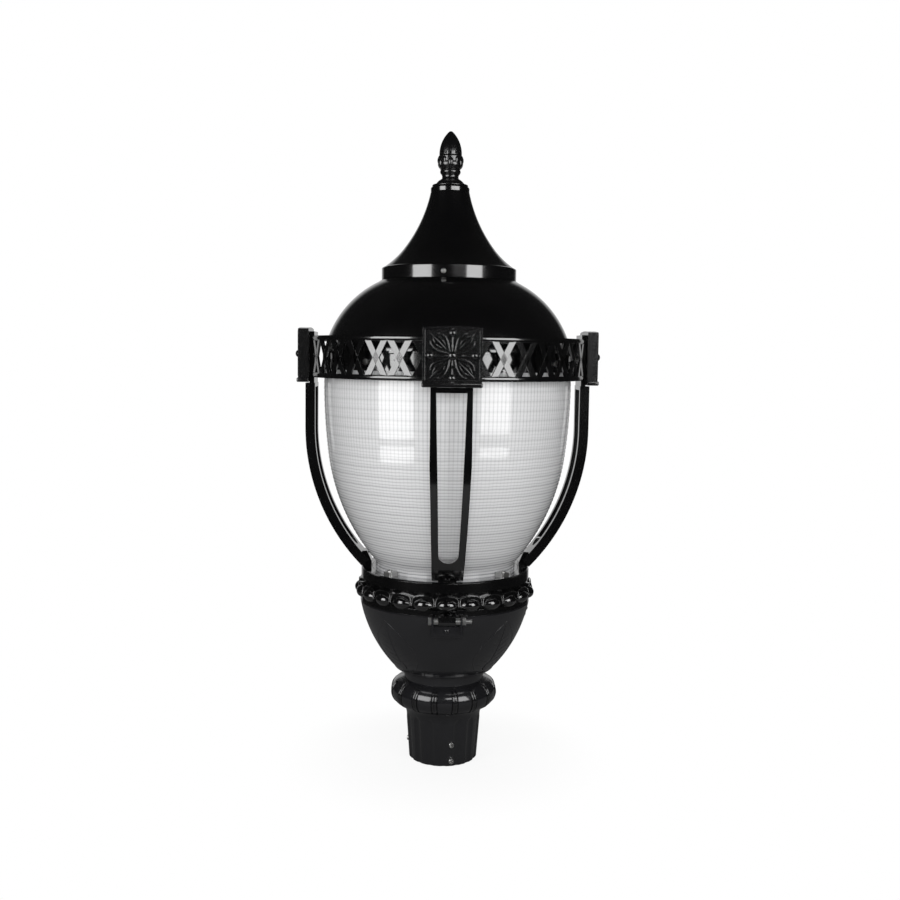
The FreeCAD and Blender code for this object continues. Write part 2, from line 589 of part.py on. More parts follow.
# ---- lattice band ----------------------------------------------------------------------
def band_segment():
    """A quarter of the band. It is built about +X, so its middle is the diagonal."""
    inner, outer = BAND_R - BAND_DEPTH, BAND_R
    low, high = BAND_BOTTOM_Z, BAND_TOP_Z
    sheet_out = outer - LATTICE_RECESS
    sheet_in = sheet_out - LATTICE_THICK
    half = RIM_HEIGHT / 2

    def rim(z):
        top = z + RIM_HEIGHT
        return [(inner, z), (outer - 1.2, z), ((outer, z + half), (outer - 1.2, top)), (inner, top)]

    ring = turned([(sheet_in, low + 3), (sheet_out, low + 3), (sheet_out, high - 3), (sheet_in, high - 3)])
    floor, roof = low + RIM_HEIGHT, high - RIM_HEIGHT
    middle, rise = (floor + roof) / 2, (roof - floor) / 2
    step = math.radians(LATTICE_PITCH) * outer
    slant = math.hypot(step / 2, rise)
    bar_x = LATTICE_BAR / 2 * slant / rise          # half a bar, measured along the band
    bar_z = LATTICE_BAR / 2 * slant / (step / 2)    # half a bar, measured up the band
    diamond = [(-step / 2 + bar_x, 0), (0, rise - bar_z), (step / 2 - bar_x, 0), (0, bar_z - rise)]
    wedge = [(-step / 2 + bar_x, rise), (step / 2 - bar_x, rise), (0, bar_z)]

    def opening(corners, angle):
        ring_points = [V(0, y, middle + z) for y, z in corners]
        cutter = Part.Face(Part.makePolygon(ring_points + ring_points[:1])).extrude(V(60, 0, 0))
        cutter.translate(V(outer - 30, 0, 0))
        cutter.rotate(V(0, 0, 0), UP, angle)
        return cutter

    cutters = []
    for k in range(CROSSINGS):
        crossing = LATTICE_PITCH * (k - (CROSSINGS - 1) / 2)
        if k:
            cutters.append(opening(diamond, crossing - LATTICE_PITCH / 2))
        cutters.append(opening(wedge, crossing))
        cutters.append(opening([(y, -z) for y, z in wedge], crossing))
    ring = ring.cut(cutters)
    ring = ring.fuse([turned(rim(low)), turned(rim(high - RIM_HEIGHT))])
    edge = ARM_TOP_HALF + 0.3
    reach = 300.0
    corner = V(edge, edge, 0)
    sector = Part.makePolygon([corner, V(reach, edge, 0), V(reach, reach, 0), V(edge, reach, 0), corner])
    keep = Part.Face(sector).extrude(V(0, 0, 900))
    keep.rotate(V(0, 0, 0), UP, -45)
    return ring.common(keep)


# ---- medallions ------------------------------------------------------------------------
def medallion():
    half, back, face = MEDAL_HALF, MEDAL_BACK, MEDAL_FACE
    low, high = MEDAL_BOTTOM_Z, MEDAL_TOP_Z
    centre_z = (low + high) / 2
    body = block((back, -half, low), (face, half, high))
    corners = [e for e in body.Edges if e.BoundBox.XLength > 5]
    body = body.makeFillet(3.0, corners)
    front = [e for e in body.Edges if e.BoundBox.XMin > face - 1e-3]
    body = body.makeChamfer(1.6, front)
    frame = block((face - 1.0, -half + 5, low + 5), (face + 2.0, half - 5, high - 5))
    body = body.cut(frame)
    ledge = block((back, -40, low - 6.8), (face + 1.5, 40, low + 0.4))
    body = body.fuse(ledge.makeFillet(2.0, [e for e in ledge.Edges if e.BoundBox.YLength > 70]))
    base = face - 1.0
    relief = []
    for k in range(4):
        a = math.radians(45 + 90 * k)
        out = (0, math.cos(a), math.sin(a))
        side = (0, -math.sin(a), math.cos(a))
        mid = (base, 21.5 * out[1], centre_z + 21.5 * out[2])
        relief.append(spindle(19.5, 4.2, (base, mid[1], mid[2]), out))
        for sign in (-1, 1):
            tilt = 0.2 * sign
            lean = (0, out[1] + tilt * side[1], out[2] + tilt * side[2])
            at = (base, mid[1] + 6.2 * sign * side[1], mid[2] + 6.2 * sign * side[2])
            relief.append(spindle(16.0, 2.6, at, lean))
        b = math.radians(90 * k)
        stem = (0, math.cos(b), math.sin(b))
        relief.append(spindle(12.0, 3.0, (base, 15 * stem[1], centre_z + 15 * stem[2]), stem))
        relief.append(Part.makeSphere(4.6, V(base + 0.8, 27.5 * stem[1], centre_z + 27.5 * stem[2])))
    relief.append(Part.makeSphere(6.8, V(base + 1.6, 0, centre_z)))
    front_half = block((base - 0.5, -60, 500), (base + 30, 60, 700))
    body = body.fuse([r.common(front_half) for r in relief])
    holes = [rod(2.0, 7, (back - 1, y, MEDAL_SCREW_Z), (1, 0, 0)) for y in MEDAL_SCREW_Y]
    return body.cut(holes)


def medal_screws(angle):
    made = []
    for y in MEDAL_SCREW_Y:
        screw = domed_screw(2.0, 4.0, 2.4, 12.5, (BAND_R - BAND_DEPTH, y, MEDAL_SCREW_Z), (-1, 0, 0))
        made.append(facing(screw, angle))
    return made


# ---- globe -------------------------------------------------------------------------------
def thinned(circle, wall):
    return (circle[0], circle[1], circle[2] - wall)


def refractor_globe():
    wall, foot_z, straight_z = GLASS_WALL, 301.0, 588.0
    lower_in, upper_in = thinned(GLASS_LOWER, wall), thinned(GLASS_UPPER, wall)
    start_z, inner_start_z = 311.0, 314.0
    return turned([
        (GLASS_FOOT_R, RING_TOP_Z), (GLASS_FOOT_R, foot_z), (radius_at(GLASS_LOWER, start_z), start_z),
        bend(GLASS_LOWER, start_z, GLASS_JOIN_Z), bend(GLASS_UPPER, GLASS_JOIN_Z, straight_z),
        (GLASS_RIM_R, GLASS_TOP_Z), (GLASS_RIM_R - wall, GLASS_TOP_Z),
        (radius_at(upper_in, straight_z), straight_z), bend(upper_in, straight_z, GLASS_JOIN_Z),
        bend(lower_in, GLASS_JOIN_Z, inner_start_z),
        (GLASS_FOOT_R - wall, foot_z + 1), (GLASS_FOOT_R - wall, SEAT_Z + 2.0),
        (110.4, SEAT_Z + 2.0), (110.4, RING_TOP_Z),
    ])


def globe_gasket():
    return turned([(100.0, SEAT_Z), (110.4, SEAT_Z), (110.4, SEAT_Z + 2.0), (100.0, SEAT_Z + 2.0)])


def globe_clips():
    clip = block((108.4, -8, RING_TOP_Z), (122.0, 8, RING_TOP_Z + CLIP_HEIGHT))
    clip = clip.makeFillet(3.0, [e for e in clip.Edges if e.BoundBox.ZLength > 2 and e.BoundBox.XMax > 121])
    clip = clip.cut(rod(2.2, 12, (CLIP_SCREW_R, 0, RING_TOP_Z - 1), (0, 0, 1)))
    return [facing(clip, angle) for angle in DIAGONALS]


def globe_clip_screws():
    top = RING_TOP_Z + CLIP_HEIGHT
    return [domed_screw(2.0, 4.0, 2.8, 15, polar(CLIP_SCREW_R, a, top), (0, 0, 1)) for a in DIAGONALS]


# ---- light engine ----------------------------------------------------------------------
def heat_sink():
    sink = rod(98.0, SINK_THICK, (0, 0, ENGINE_Z), (0, 0, 1))
    fins = []
    for k in range(-6, 7):
        x = 12.0 * k
        half = math.sqrt(84.0 ** 2 - (abs(x) + 1.2) ** 2) - 1
        fins.append(block((x - 1.2, -half, ENGINE_Z - 14), (x + 1.2, half, ENGINE_Z + 1)))
    sink = sink.fuse(fins)
    holes = [rod(1.6, 10, polar(SINK_SCREW_R, angle, ENGINE_Z - 1), (0, 0, 1)) for angle in DIAGONALS]
    return sink.cut(holes)


def heat_sink_screws():
    top = ENGINE_Z + SINK_THICK
    return [domed_screw(1.6, 3.2, 2.0, 10, polar(SINK_SCREW_R, a, top), (0, 0, 1)) for a in DIAGONALS]


def led_board():
    return rod(60.0, 1.6, (0, 0, ENGINE_Z + SINK_THICK), (0, 0, 1))


def led_chips():
    chips = []
    for count, radius in ((6, 18.0), (12, 34.0), (18, 50.0)):
        for k in range(count):
            chip = block((-1.75, -1.75, 0), (1.75, 1.75, 1.4))
            chip.translate(V(radius, 0, ENGINE_Z + SINK_THICK + 1.6))
            chips.append(facing(chip, 360.0 * k / count))
    return chips


def led_lens():
    """A shallow domed lens on a flat rim, over the board."""
    low, rim_r, dome_r = ENGINE_Z + SINK_THICK, 70.0, 62.3
    outside, inside = (0.0, low - 87.1, 111.1), (0.0, low - 87.1, 108.1)

    def height(circle, r):
        return circle[1] + math.sqrt(circle[2] ** 2 - r ** 2)

    base = low + 3.0
    return turned([
        (dome_r, low), (rim_r, low), (rim_r, base), (radius_at(outside, base), base),
        ((35.0, height(outside, 35.0)), (0, height(outside, 0))), (0, height(inside, 0)),
        ((33.0, height(inside, 33.0)), (dome_r, height(inside, dome_r))),
    ])


# ---- cover ------------------------------------------------------------------------------
CLIP_ANGLES = [21 + 90 * k for k in range(4)] + [66 + 90 * k for k in range(4)]
SKIRT_SCREW_ANGLES = [52 + 90 * k for k in range(4)]


def top_gasket():
    inner, outer = 178.0, GLASS_RIM_R
    return turned([
        (inner, GLASS_TOP_Z), (outer, GLASS_TOP_Z), (outer, GASKET_TOP_Z), (inner, GASKET_TOP_Z),
    ])


def globe_cap_ring():
    ring = turned([
        (184.5, SKIRT_BOTTOM_Z), (SKIRT_R, SKIRT_BOTTOM_Z), (SKIRT_R, SKIRT_TOP_Z),
        (150.0, SKIRT_TOP_Z), (150.0, GASKET_TOP_Z), (184.5, GASKET_TOP_Z),
    ])
    return ring.cut([rod(2.0, 16, polar(178, a, 606), outward(a)) for a in SKIRT_SCREW_ANGLES])


def cap_ring_screws():
    made = []
    for a in SKIRT_SCREW_ANGLES:
        head = hexagon(8, 3.6, (SKIRT_R, 0, 606), (1, 0, 0))
        made.append(facing(head.fuse(rod(2.0, 2.1, (SKIRT_R - 2.1, 0, 606), (1, 0, 0))), a))
    return made


def dome():
    low, edge, top = SKIRT_TOP_Z, SKIRT_TOP_Z + 3.0, DOME_TOP_Z
    inside = thinned(DOME_CURVE, DOME_WALL)
    shoulder_r = radius_at(DOME_CURVE, top)
    return turned([
        (172.0, low), (SKIRT_R, low), (SKIRT_R, edge), (radius_at(DOME_CURVE, edge), edge),
        bend(DOME_CURVE, edge, top),
        (shoulder_r - 3.0, top + 2.0), (SPIGOT_R, top + 2.0), (SPIGOT_R, SPIGOT_TOP_Z),
        (30.0, SPIGOT_TOP_Z), (30.0, SPIGOT_TOP_Z - 3.0), (SPIGOT_R - 3.0, SPIGOT_TOP_Z - 3.0),
        (SPIGOT_R - 3.0, top - 2.0), (radius_at(inside, top - 2.0), top - 2.0),
        bend(inside, top - 2.0, edge), (172.0, edge),
    ]).cut([rod(2.0, 8, polar(SPIGOT_R - 5, a, ROOF_SCREW_Z), outward(a)) for a in ROOF_SCREW_ANGLES])


def dome_clips():
    grip = plate([
        (SKIRT_R + 0.05, 598.0), (SKIRT_R + 3.0, 598.0), (SKIRT_R + 3.0, 617.0), (SKIRT_R + 6.5, 618.2),
        (SKIRT_R + 6.5, 622.5), (SKIRT_R - 2.1, 622.5), (SKIRT_R - 2.1, 621.4), (SKIRT_R + 0.05, 621.2),
    ], 11.0)
    head = hexagon(6, 2.4, (SKIRT_R + 3.0, 0, 606.0), (1, 0, 0))
    return [facing(grip.fuse(head), a) for a in CLIP_ANGLES]


def inner_reflector():
    low = SKIRT_TOP_Z
    return turned([
        (150.5, low), (168.0, low), (168.0, low + 1.5), (151.0, low + 1.5),
        (60.0, REFLECTOR_TOP_Z), (0, REFLECTOR_TOP_Z), (0, REFLECTOR_TOP_Z - 1.5),
        (59.5, REFLECTOR_TOP_Z - 1.5),
    ])


def roof_cone():
    wall, lip = ROOF_WALL, ROOF_LIP_Z
    top_z, neck_z = ROOF_TOP_Z, 856.0
    inside = (ROOF_CURVE[0], ROOF_CURVE[1], ROOF_CURVE[2] + wall)
    flare_r, neck_r = radius_at(ROOF_CURVE, ROOF_FLARE_Z, -1), radius_at(ROOF_CURVE, neck_z, -1)
    return turned([
        (ROOF_R - wall, ROOF_BOTTOM_Z), (ROOF_R, ROOF_BOTTOM_Z), (ROOF_R, lip - 1.2),
        (ROOF_R - 1.2, lip), (96.5, lip + 1.0), ((80.7, 757.8), (flare_r, ROOF_FLARE_Z)),
        bend(ROOF_CURVE, ROOF_FLARE_Z, neck_z, -1), (neck_r, top_z - 2.5), (neck_r - 2.0, top_z),
        (STUD_R + 0.2, top_z), (STUD_R + 0.2, top_z - 4.0), (neck_r - wall, top_z - 4.0),
        (radius_at(inside, neck_z, -1), neck_z), bend(inside, neck_z, ROOF_FLARE_Z, -1),
        ((77.7, 756.4), (93.5, lip - 1.6)), (ROOF_R - wall, lip - 3.4),
    ]).cut([rod(2.2, 12, polar(ROOF_R - 8, a, ROOF_SCREW_Z), outward(a)) for a in ROOF_SCREW_ANGLES])


def roof_screws():
    spots = [(polar(ROOF_R, a, ROOF_SCREW_Z), outward(a)) for a in ROOF_SCREW_ANGLES]
    return [domed_screw(2.0, 3.8, 2.6, 9.0, start, direction) for start, direction in spots]


# ---- finial ------------------------------------------------------------------------------
def finial():
    low, foot, top = ROOF_TOP_Z, FINIAL_FOOT_Z, FINIAL_TOP_Z
    body = turned([
        (0, foot + 18.0), (STUD_R, foot + 18.0), (STUD_R, low), (26.0, low),
        ((26.6, low + 1.4), (25.4, low + 2.6)), (21.5, low + 3.4), ((18.2, low + 7.6), (13.2, low + 11.0)),
        (12.6, foot), ((12.2, foot + 3.0), (13.6, foot + 6.0)),
        ((15.2, foot + 9.5), (14.2, foot + 12.5)), (14.6, foot + 13.5),
        ((18.2, foot + 18.0), (18.0, foot + 24.0)),
        (18.4, foot + 31.0), (16.6, foot + 33.5), ((13.8, foot + 51.0), (2.6, top - 1.0)), (0, top),
    ])
    grooves = []
    for k in range(14):
        groove = Part.makeCylinder(1.2, 40, V(17.4, 0, foot + 33.5), V(-0.42, 0, 1))
        grooves.append(facing(groove.common(block((0, -5, foot + 34), (40, 5, top - 8))), 360.0 * k / 14))
    leaves = []
    for k in range(6):
        leaves.append(facing(spindle(9.0, 4.6, (15.4, 0, foot + 22.5), (0, 0, 1)), 60.0 * k))
        leaves.append(facing(spindle(8.0, 4.0, (15.4, 0, foot + 26.0), (0, 0, 1)), 60.0 * k + 30))
    return body.cut(grooves).fuse(leaves)


def finial_stud():
    return rod(STUD_R, 44.0, (0, 0, ROOF_TOP_Z - 14.0), (0, 0, 1))


def finial_nut():
    low = ROOF_TOP_Z - 4.0 - 6.0
    nut = hexagon(13, 6.0, (0, 0, low), (0, 0, 1))
    return nut.cut(rod(STUD_R, 9, (0, 0, low - 1), (0, 0, 1)))


# ---- everything ------------------------------------------------------------------------------
def main():
    save("post_fitter", post_fitter())
    for name, (angle, heights) in SET_SCREWS.items():
        for level, z in zip(("lower", "upper"), heights):
            save(f"set_screw_{name}_{level}", set_screw(angle, z))
    save("housing_bowl", housing_bowl())
    save("bowl_bolts", *bowl_bolts())
    save("bowl_gasket", bowl_gasket())
    save("gear_tray", gear_tray())
    save("gear_tray_screws", *tray_screws())
    save("led_driver", led_driver())
    save("driver_screws", *driver_screws())
    save("surge_protector", surge_protector())
    save("terminal_block", terminal_block())
    save("hinge_leaf", hinge_leaf())
    save("hinge_leaf_screw", hinge_leaf_screw())
    save("latch_handle", latch_handle())
    save("latch_cam", latch_cam())
    save("latch_nut", latch_nut())
    save("latch_screw", latch_screw())
    save("hinge_bolt", hinge_bolt())
    save("hinge_nut", hinge_nut())
    save("hinge_bushes", *hinge_bushes())
    save("globe_ring", globe_ring())
    save("globe_gasket", globe_gasket())
    save("refractor_globe", refractor_globe())
    save("globe_clips", *globe_clips())
    save("globe_clip_screws", *globe_clip_screws())
    save("heat_sink", heat_sink())
    save("heat_sink_screws", *heat_sink_screws())
    save("led_board", led_board())
    save("led_chips", *led_chips())
    save("led_lens", led_lens())
    arm, bolt, medal, segment = cage_arm(), arm_bolt(), medallion(), band_segment()
    for name, angle in ARM_NAMES.items():
        save(f"cage_arm_{name}", facing(arm, angle))
        save(f"medallion_{name}", facing(medal, angle))
    for name, angle in BAND_NAMES.items():
        save(f"lattice_band_{name}", facing(segment, angle + 45))
    save("arm_bolts", *[facing(bolt, a) for a in ARM_NAMES.values()])
    save("medallion_screws", *[s for a in ARM_NAMES.values() for s in medal_screws(a)])
    save("top_gasket", top_gasket())
    save("globe_cap_ring", globe_cap_ring())
    save("cap_ring_screws", *cap_ring_screws())
    save("dome", dome())
    save("dome_clips", *dome_clips())
    save("inner_reflector", inner_reflector())
    save("roof_cone", roof_cone())
    save("roof_screws", *roof_screws())
    save("finial", finial())
    save("finial_stud", finial_stud())
    save("finial_nut", finial_nut())


main()
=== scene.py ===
# The looks of a post top lantern: gloss black castings, a prismatic globe and bright
# fasteners, in a white studio. Metres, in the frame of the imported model: +Z up, the
# hinged front arm towards -Y, the origin at the mouth of the post socket. Sizes that are
# in millimetres say so, and are multiplied by MM where a shape is made.
import json
import math

import bpy
from mathutils import Matrix, Vector


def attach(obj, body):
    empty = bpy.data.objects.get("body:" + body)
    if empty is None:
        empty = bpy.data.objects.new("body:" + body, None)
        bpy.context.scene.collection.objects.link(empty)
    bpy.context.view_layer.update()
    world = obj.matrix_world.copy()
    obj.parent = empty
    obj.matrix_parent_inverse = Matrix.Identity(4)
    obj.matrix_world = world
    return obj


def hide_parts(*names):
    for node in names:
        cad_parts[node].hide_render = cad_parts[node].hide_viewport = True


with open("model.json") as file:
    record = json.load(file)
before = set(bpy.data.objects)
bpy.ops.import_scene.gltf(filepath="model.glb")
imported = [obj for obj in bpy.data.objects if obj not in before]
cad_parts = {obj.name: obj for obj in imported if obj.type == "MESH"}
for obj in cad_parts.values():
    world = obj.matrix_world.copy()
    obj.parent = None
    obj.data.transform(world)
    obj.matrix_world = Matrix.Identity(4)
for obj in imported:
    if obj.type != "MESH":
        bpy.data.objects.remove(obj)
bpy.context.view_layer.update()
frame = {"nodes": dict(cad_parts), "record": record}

MM = 0.001
TAU = 2 * math.pi
ORIGIN = (0, 0, 0)
ARMS = {"front": 0.0, "right": 90.0, "back": 180.0, "left": 270.0}


# ---- shader kit -----------------------------------------------------------------
class Value:
    """A number that varies over a surface: a node's output, with arithmetic."""

    def __init__(self, net, socket):
        self.net, self.socket = net, socket

    def _math(self, operation, first, second):
        return self.net.node("Math", {"operation": operation}, {0: first, 1: second})

    def __add__(self, other):
        return self._math("ADD", self, other)

    def __sub__(self, other):
        return self._math("SUBTRACT", self, other)

    def __rsub__(self, other):
        return self._math("SUBTRACT", other, self)

    def __mul__(self, other):
        return self._math("MULTIPLY", self, other)

    __radd__, __rmul__ = __add__, __mul__

    def over(self, limit):
        return self._math("GREATER_THAN", self, limit)

    def wave(self):
        """The sine of the number, from 0 to 1."""
        return self._math("SINE", self, 0) * 0.5 + 0.5

    def smooth(self, low, high):
        """0 below low, 1 above high, and a soft step between them."""
        ends = {"Value": self, "From Min": low, "From Max": high}
        return self.net.node("MapRange", {"interpolation_type": "SMOOTHSTEP"}, ends)


class Net:
    """The nodes of a material or of the world."""

    def __init__(self, tree):
        self.tree = tree
        tree.nodes.clear()

    def node(self, kind, settings=None, sockets=None, out=0):
        made = self.tree.nodes.new("ShaderNode" + kind)
        for name, value in (settings or {}).items():
            setattr(made, name, value)
        for name, value in (sockets or {}).items():
            if isinstance(value, Value):
                self.tree.links.new(value.socket, made.inputs[name])
            else:
                made.inputs[name].default_value = value
        return Value(self, made.outputs[out]) if len(made.outputs) else made

    def place(self):
        return self.node("TexCoord", out="Object")

    def parts(self, vector):
        split = self.node("SeparateXYZ", sockets={0: vector})
        outputs = split.socket.node.outputs
        return [Value(self, outputs[k]) for k in range(3)]

    def angle(self, x, y):
        """How far round the axis a place is, in radians."""
        return self.node("Math", {"operation": "ARCTAN2"}, {0: y, 1: x})

    def noise(self, size, detail=2.0, roughness=0.5):
        """Noise with lumps of about the given size, in metres."""
        grain = {"Scale": 1 / size, "Detail": detail, "Roughness": roughness}
        return self.node("TexNoise", None, {"Vector": self.place(), **grain})

    def blend(self, share, first, second):
        """A colour between two colours."""
        made = self.tree.nodes.new("ShaderNodeMix")
        made.data_type = "RGBA"
        self.tree.links.new(share.socket, made.inputs[0])
        for slot, colour in ((6, first), (7, second)):
            made.inputs[slot].default_value = (*colour, 1.0)
        return Value(self, made.outputs[2])

    def bump(self, height, distance, normal):
        return self.node("Bump", None, {"Height": height, "Distance": distance, "Normal": normal})

    def rounded(self, radius):
        """The surface's direction, with its sharp edges eased."""
        return self.node("Bevel", {"samples": 4}, {"Radius": radius})


def finish_named(name, build):
    """A material whose surface is the shader that build returns."""
    material = bpy.data.materials.new(name)
    material.use_nodes = True
    net = Net(material.node_tree)
    net.node("OutputMaterial", None, {"Surface": build(net)})
    return material


def principled(net, **sockets):
    named = {key.replace("_", " "): value for key, value in sockets.items()}
    if not isinstance(named["Base Color"], Value):
        named["Base Color"] = (*named["Base Color"], 1.0)
    return net.node("BsdfPrincipled", None, named)


# ---- finishes -------------------------------------------------------------------
CAST_EDGE = 0.7 * MM           # how far the light eases over the edges of a coated casting
MOULD_EDGE = 0.5 * MM
FINE_EDGE = 0.4 * MM


def black_coat(net):
    """Gloss black powder coat: a faint orange peel and slightly uneven gloss."""
    peel = net.noise(3.2 * MM, 1.0)
    cloud = net.noise(45 * MM, 2.0)
    speck = net.noise(0.5 * MM, 0.0)
    return principled(
        net, Base_Color=net.blend(cloud, (0.0007, 0.0007, 0.0008), (0.0012, 0.0012, 0.0014)),
        Roughness=cloud * 0.10 + 0.13, Specular_IOR_Level=1.0,
        Coat_Weight=1.0, Coat_Roughness=0.06, Coat_IOR=1.7,
        Normal=net.bump(peel * 0.7 + speck * 0.12, 0.05 * MM, net.rounded(CAST_EDGE)),
    )


def black_satin(net):
    """The coat where it is greyer and less glossy, as on the bowl and the fitter."""
    grain = net.noise(1.8 * MM, 2.0)
    cloud = net.noise(60 * MM, 2.0)
    return principled(
        net, Base_Color=net.blend(cloud, (0.0080, 0.0080, 0.0090), (0.0115, 0.0115, 0.0129)),
        Roughness=cloud * 0.10 + 0.14, Coat_Weight=0.9, Coat_Roughness=0.09, Coat_IOR=1.6,
        Normal=net.bump(grain, 0.06 * MM, net.rounded(CAST_EDGE)),
    )


def black_casting(net):
    """The coat over a sand-cast face: duller, with the grain of the mould."""
    grain = net.noise(1.1 * MM, 3.0, 0.6)
    cloud = net.noise(22 * MM, 2.0)
    return principled(
        net, Base_Color=net.blend(cloud, (0.0018, 0.0018, 0.0020), (0.0030, 0.0030, 0.0033)),
        Roughness=grain * 0.12 + 0.17, Specular_IOR_Level=0.8,
        Coat_Weight=0.9, Coat_Roughness=0.13, Coat_IOR=1.6,
        Normal=net.bump(grain, 0.12 * MM, net.rounded(MOULD_EDGE)),
    )


def stainless(net):
    fine = net.noise(0.35 * MM, 2.0)
    return principled(
        net, Base_Color=net.blend(fine, (0.56, 0.56, 0.55), (0.70, 0.70, 0.69)), Metallic=1.0,
        Roughness=fine * 0.14 + 0.30, Normal=net.bump(fine, 0.02 * MM, net.rounded(FINE_EDGE)),
    )


def bare_aluminium(net):
    across = net.noise(0.7 * MM, 3.0)
    return principled(
        net, Base_Color=net.blend(across, (0.52, 0.53, 0.54), (0.66, 0.67, 0.68)), Metallic=1.0,
        Roughness=across * 0.2 + 0.30, Normal=net.bump(across, 0.03 * MM, net.rounded(FINE_EDGE)),
    )


def painted(low, high, roughness, size=4.0):
    """A plain enamel or moulded finish, a little uneven in patches of size millimetres."""
    def build(net):
        cloud = net.noise(size * MM, 3.0)
        return principled(
            net, Base_Color=net.blend(cloud, low, high), Roughness=cloud * 0.1 + roughness,
            Normal=net.bump(cloud, 0.03 * MM, net.rounded(FINE_EDGE)),
        )
    return build


def clear_lens(net):
    return principled(
        net, Base_Color=(0.93, 0.94, 0.95), Roughness=net.noise(9 * MM) * 0.04 + 0.04,
        Transmission_Weight=0.92, IOR=1.49,
    )


GLASS_FLUTES = 384             # upright prisms round the inside of the globe
STEP_PITCH = 4.4 * MM          # from one painted dark ring to the next
MARK_PITCH = 13.3 * MM         # about every third ring is stronger
WAVER = 1.6 * MM               # how far the rings stray up and down
UPRIGHTS_RISE = (0.430, 0.540)    # between these heights the uprights take over from the rings
FOOT_RISE = (0.290, 0.345)     # and between these the painted shade at the glass's foot ends


def clear_refractor(net):
    """Clear acrylic. Its prisms are modelled, and the finer lines between them are painted shade, for the
    dark surroundings that finer prisms bend into view.
    """
    cloud = net.noise(30 * MM)
    x, y, z = net.parts(net.place())
    level = z + net.noise(16 * MM, 1.0) * WAVER
    # reeds, steps and marks: thin lines of painted shade, for the dark surroundings that the prisms bend
    # into view
    reeds = (net.angle(x, y) * (GLASS_FLUTES / 2)).wave().smooth(0.02, 0.35)
    steps = (level * (TAU / STEP_PITCH)).wave().smooth(0.02, 0.45)
    marks = (level * (TAU / MARK_PITCH)).wave().smooth(0.01, 0.12)
    # foot is painted shade: the glass's colour darkens towards its foot, above the ring
    high, foot = z.smooth(*UPRIGHTS_RISE), 1 - z.smooth(*FOOT_RISE)
    shade = (
        1 - (1 - reeds) * (high * 0.24 + 0.08) - (1 - steps) * (0.38 - high * 0.30)
        - (1 - marks) * 0.20 - cloud * 0.06 - foot * 0.42
    )
    return principled(
        net, Base_Color=net.blend(shade, (0.33, 0.334, 0.346), (0.96, 0.962, 0.968)),
        Roughness=cloud * 0.05 + 0.22, Transmission_Weight=0.36, IOR=1.45,
        Specular_IOR_Level=0.1, Coat_Weight=1.0, Coat_Roughness=0.05, Coat_IOR=1.55,
    )


FINISHES = {
    "black_coat": black_coat,
    "black_casting": black_casting,
    "clear_refractor": clear_refractor,
    "clear_lens": clear_lens,
    "seal_rubber": painted((0.010, 0.010, 0.010), (0.020, 0.020, 0.020), 0.62, 2.0),
    "white_enamel": painted((0.76, 0.76, 0.75), (0.82, 0.82, 0.81), 0.24, 14.0),
    "bare_aluminium": bare_aluminium,
    "driver_case": painted((0.58, 0.59, 0.60), (0.66, 0.67, 0.68), 0.38),
    "black_plastic": painted((0.016, 0.016, 0.017), (0.026, 0.026, 0.028), 0.48, 1.2),
    "cream_plastic": painted((0.62, 0.60, 0.52), (0.70, 0.68, 0.60), 0.42, 1.5),
    "white_board": painted((0.76, 0.76, 0.74), (0.82, 0.82, 0.80), 0.34, 2.0),
    "led_phosphor": painted((0.80, 0.62, 0.12), (0.88, 0.72, 0.20), 0.30, 0.8),
    "stainless": stainless,
}
finishes = {name: finish_named(name, build) for name, build in FINISHES.items()}
satin = finish_named("black_satin", black_satin)

# Nodes whose finish differs from the one of their slot.
own_finish = {node: satin for node in ("housing_bowl", "post_fitter", "hinge_leaf", "hinge_leaf_screw")}
own_finish["finial"] = finishes["black_casting"]
own_finish["globe_clips"] = finishes["stainless"]

for part in frame["record"]["subparts"]:
    node = frame["nodes"][part["node"]]
    node.data.materials.clear()
    node.data.materials.append(own_finish.get(part["node"], finishes[part["material_slot"]]))


# ---- modelling kit --------------------------------------------------------------
def start(name, add, **place):
    """Add a primitive with nothing else selected, and open it in edit mode."""
    bpy.ops.object.select_all(action="DESELECT")
    add(**place)
    piece = bpy.context.object
    piece.name = piece.data.name = name
    bpy.ops.object.mode_set(mode="EDIT")
    bpy.ops.mesh.select_all(action="SELECT")
    return piece


def block(name, middle, size, cuts=0):
    """A block with its middle and its size in millimetres, in edit mode."""
    piece = start(name, bpy.ops.mesh.primitive_cube_add, size=1, location=ORIGIN)
    if cuts:
        bpy.ops.mesh.subdivide(number_cuts=cuts)
    bpy.ops.transform.resize(value=[length * MM for length in size], center_override=ORIGIN)
    bpy.ops.transform.translate(value=[part * MM for part in middle])
    return piece


def choose(piece, wanted):
    """In edit mode, select the vertices whose place suits."""
    bpy.ops.mesh.select_all(action="DESELECT")
    bpy.ops.object.mode_set(mode="OBJECT")
    for vertex in piece.data.vertices:
        vertex.select = wanted(vertex.co)
    bpy.ops.object.mode_set(mode="EDIT")


def nudge(piece, wanted, x=0.0, z=0.0):
    """Move the vertices whose place suits, in millimetres."""
    choose(piece, wanted)
    bpy.ops.transform.translate(value=(x * MM, 0, z * MM))


def close(piece, crease=35.0):
    """Weld the mesh, turn its faces outwards and leave edit mode."""
    bpy.ops.mesh.select_all(action="SELECT")
    bpy.ops.mesh.remove_doubles(threshold=0.002 * MM)
    bpy.ops.mesh.normals_make_consistent(inside=False)
    bpy.ops.object.mode_set(mode="OBJECT")
    bpy.ops.object.shade_smooth_by_angle(angle=math.radians(crease))
    return piece


def apply_place():
    """Put the object's own place, turn and scale into its mesh."""
    bpy.ops.object.transform_apply(location=True, rotation=True, scale=True)


